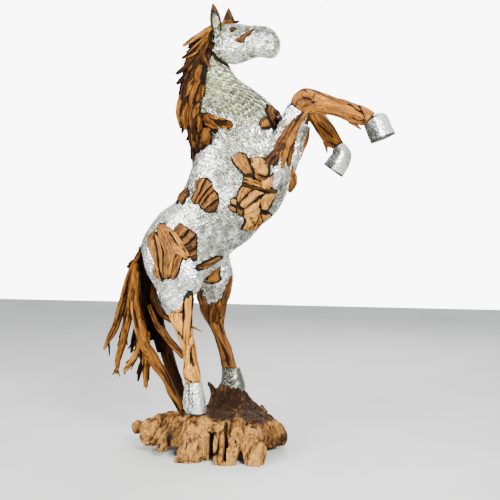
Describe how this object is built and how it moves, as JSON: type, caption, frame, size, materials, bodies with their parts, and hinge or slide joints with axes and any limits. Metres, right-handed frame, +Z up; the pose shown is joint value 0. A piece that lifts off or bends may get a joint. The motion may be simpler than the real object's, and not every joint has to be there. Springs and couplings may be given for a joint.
{
  "type": "driftwood horse sculpture",
  "caption": "Rearing horse of driftwood pieces and hammered sheet metal, standing on its hind hooves and tail on a gnarled root base.",
  "frame": {"origin": "the middle of the root base's underside, on the floor", "axes": "+X the way the horse faces, -Y its right side, +Z up"},
  "size_m": [1.5283, 0.5741, 2.2791],
  "materials": {
    "hammered_aluminium": "hammered sheet, small overlapping tiles",
    "leg_driftwood": "weathered, oiled",
    "patch_driftwood": "weathered, oiled, charred edges",
    "mane_driftwood": "weathered, dark in the crevices",
    "root_wood": "raw, washed"
  },
  "bodies": {
    "root": {"back_patch": "patch_driftwood", "belly_patch": "patch_driftwood", "breast_patch": "patch_driftwood", "cheek_strip": "patch_driftwood", "clad_body": "hammered_aluminium", "far_elbow_patch": "patch_driftwood", "far_flank_patch": "patch_driftwood", "far_rump_patch": "patch_driftwood", "far_shoulder_patch": "patch_driftwood", "flank_patch": "patch_driftwood", "forelock": "patch_driftwood", "girth_patch": "patch_driftwood", "hip_patch": "patch_driftwood", "hock_branch_lower": "mane_driftwood", "hock_branch_upper": "mane_driftwood", "inner_thigh_patch": "patch_driftwood", "jaw_stick": "mane_driftwood", "left_ear": "patch_driftwood", "left_eye": "patch_driftwood", "left_fore_cannon": "leg_driftwood", "left_fore_hoof": "hammered_aluminium", "left_forearm_root": "leg_driftwood", "left_hind_hoof": "hammered_aluminium", "left_hind_shank": "leg_driftwood", "mane_lock_01": "mane_driftwood", "mane_lock_02": "mane_driftwood", "mane_lock_03": "mane_driftwood", "mane_lock_04": "mane_driftwood", "mane_lock_05": "mane_driftwood", "mane_lock_06": "mane_driftwood", "mane_lock_07": "mane_driftwood", "mane_lock_08": "mane_driftwood", "mane_lock_09": "mane_driftwood", "mane_lock_10": "mane_driftwood", "mane_lock_11": "mane_driftwood", "mane_lock_12": "mane_driftwood", "mane_lock_13": "mane_driftwood", "mane_lock_14": "mane_driftwood", "mane_lock_15": "mane_driftwood", "mane_lock_16": "mane_driftwood", "right_ear": "hammered_aluminium", "right_eye": "patch_driftwood", "right_fore_cannon": "leg_driftwood", "right_fore_hoof": "hammered_aluminium", "right_forearm_root": "leg_driftwood", "right_hind_hoof": "hammered_aluminium", "right_hind_shank": "leg_driftwood", "root_base": "root_wood", "rump_patch": "patch_driftwood", "shoulder_patch": "patch_driftwood", "tail_brace_far": "mane_driftwood", "tail_brace_near": "mane_driftwood", "tail_branch_01": "mane_driftwood", "tail_branch_02": "mane_driftwood", "tail_branch_03": "mane_driftwood", "tail_branch_04": "mane_driftwood", "tail_branch_05": "mane_driftwood", "tail_branch_06": "mane_driftwood", "tail_core": "mane_driftwood", "withers_root": "mane_driftwood"}
  },
  "joints": []
}
